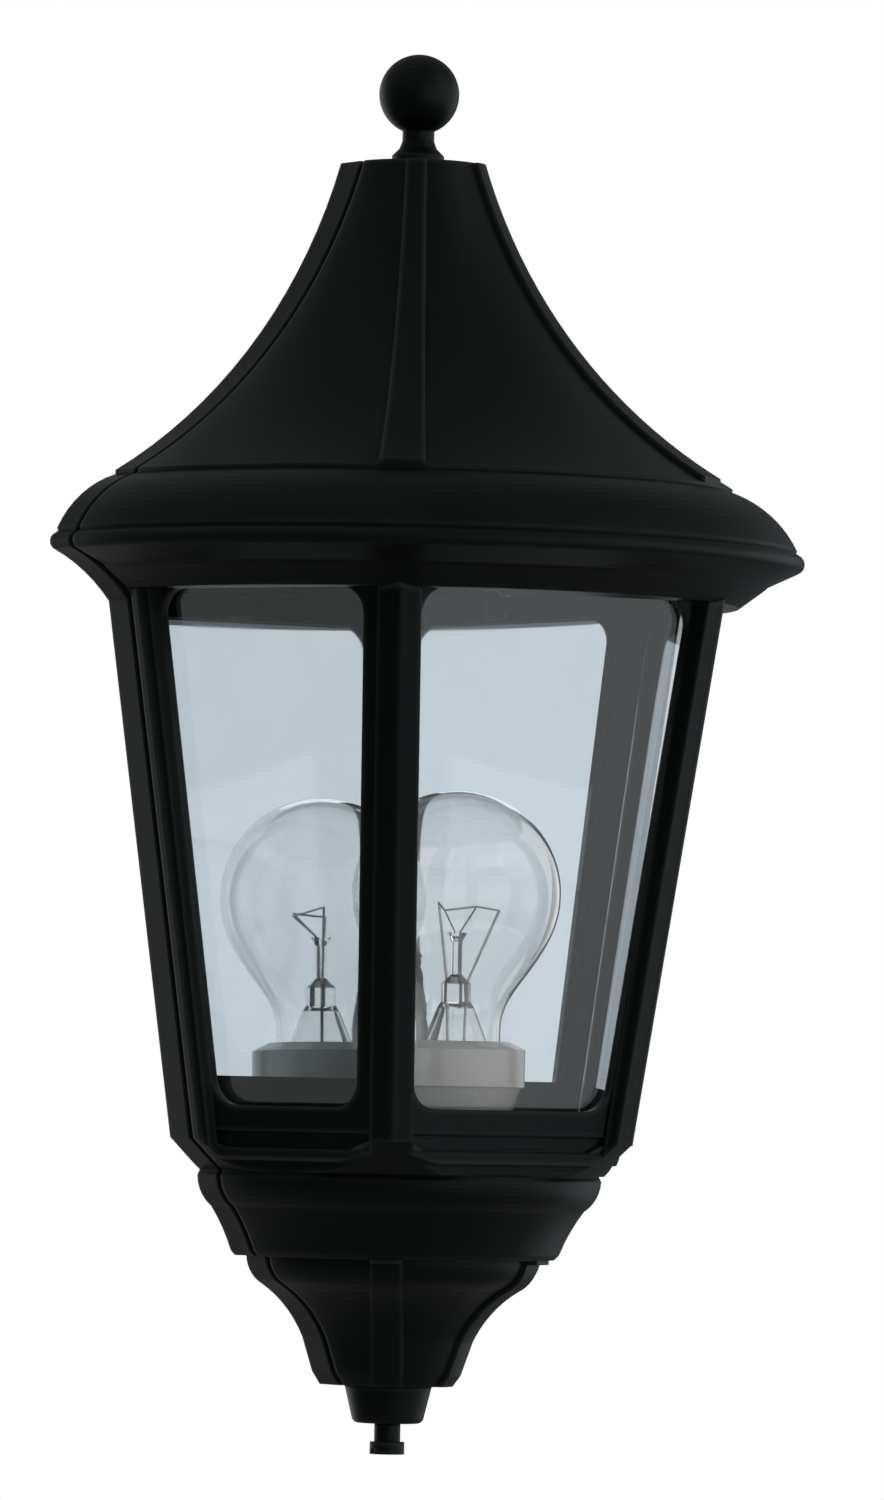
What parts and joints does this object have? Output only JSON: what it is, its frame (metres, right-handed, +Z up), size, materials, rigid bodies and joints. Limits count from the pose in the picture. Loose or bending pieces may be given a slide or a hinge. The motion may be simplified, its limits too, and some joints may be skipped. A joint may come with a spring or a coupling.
{
  "type": "outdoor wall light",
  "caption": "Flush half lantern for an outside wall: bell roof with a ball finial, tapered glazed cage over a flat mirror, clear bulb in a porcelain holder, turned base with a retaining screw.",
  "frame": {"origin": "on the wall face of the plate, half way between the two fixing holes", "axes": "+X along the wall to the viewer's right, +Y into the wall, +Z up"},
  "size_m": [0.232, 0.1287, 0.4118],
  "materials": {
    "body_paint": "satin black powder coat",
    "reflector": "polished sheet",
    "pane_glass": "clear flat glass",
    "bulb_glass": "clear blown glass",
    "porcelain": "glazed, off-white",
    "zinc_steel": "zinc plated",
    "clip_steel": "spring steel, blackened",
    "brass": "bright",
    "cap_metal": "rolled shell",
    "insulator": "dark vitrified glass",
    "block_plastic": "moulded, white",
    "lead_sleeve": "glass fibre sleeve",
    "rubber": "matt black",
    "filament_wire": "drawn wire"
  },
  "bodies": {
    "wall_plate": {"wall_plate": "body_paint", "mirror_reflector": "reflector", "mirror_screws": "zinc_steel", "lamp_bracket": "zinc_steel", "bracket_screws": "zinc_steel", "lamp_holder": "porcelain", "holder_shell": "brass", "holder_contact": "brass", "holder_screws": "zinc_steel", "terminal_block": "block_plastic", "terminal_screws": "brass", "lamp_leads": "lead_sleeve", "earth_screw": "brass", "cable_grommet": "rubber", "bottom_ferrule": "body_paint"},
    "lantern_front": {"roof_hood": "body_paint", "roof_screws": "zinc_steel", "lantern_cage": "body_paint", "front_pane": "pane_glass", "left_pane": "pane_glass", "right_pane": "pane_glass", "pane_clips": "clip_steel"},
    "finial": {"finial": "body_paint"},
    "retaining_screw": {"retaining_screw": "body_paint"},
    "bulb": {"bulb_envelope": "bulb_glass", "bulb_cap": "cap_metal", "bulb_insulator": "insulator", "bulb_contact": "cap_metal", "bulb_stem": "bulb_glass", "lead_wires": "filament_wire", "filament_supports": "filament_wire", "filament": "filament_wire"}
  },
  "joints": [
    {"name": "front_draw", "type": "slide", "parent": "wall_plate", "child": "lantern_front", "axis": [0, -1, 0], "range_m": [0, 0.12]},
    {"name": "finial_turn", "type": "hinge", "parent": "wall_plate", "child": "finial", "pos_m": [0, -0.0125, 0.235], "axis": [0, 0, 1], "continuous": true},
    {"name": "retaining_screw_turn", "type": "hinge", "parent": "wall_plate", "child": "retaining_screw", "pos_m": [0, -0.0098, -0.15], "axis": [0, 0, 1], "continuous": true},
    {"name": "bulb_turn", "type": "hinge", "parent": "wall_plate", "child": "bulb", "pos_m": [0, -0.041, 0], "axis": [0, 0, 1], "continuous": true}
  ]
}
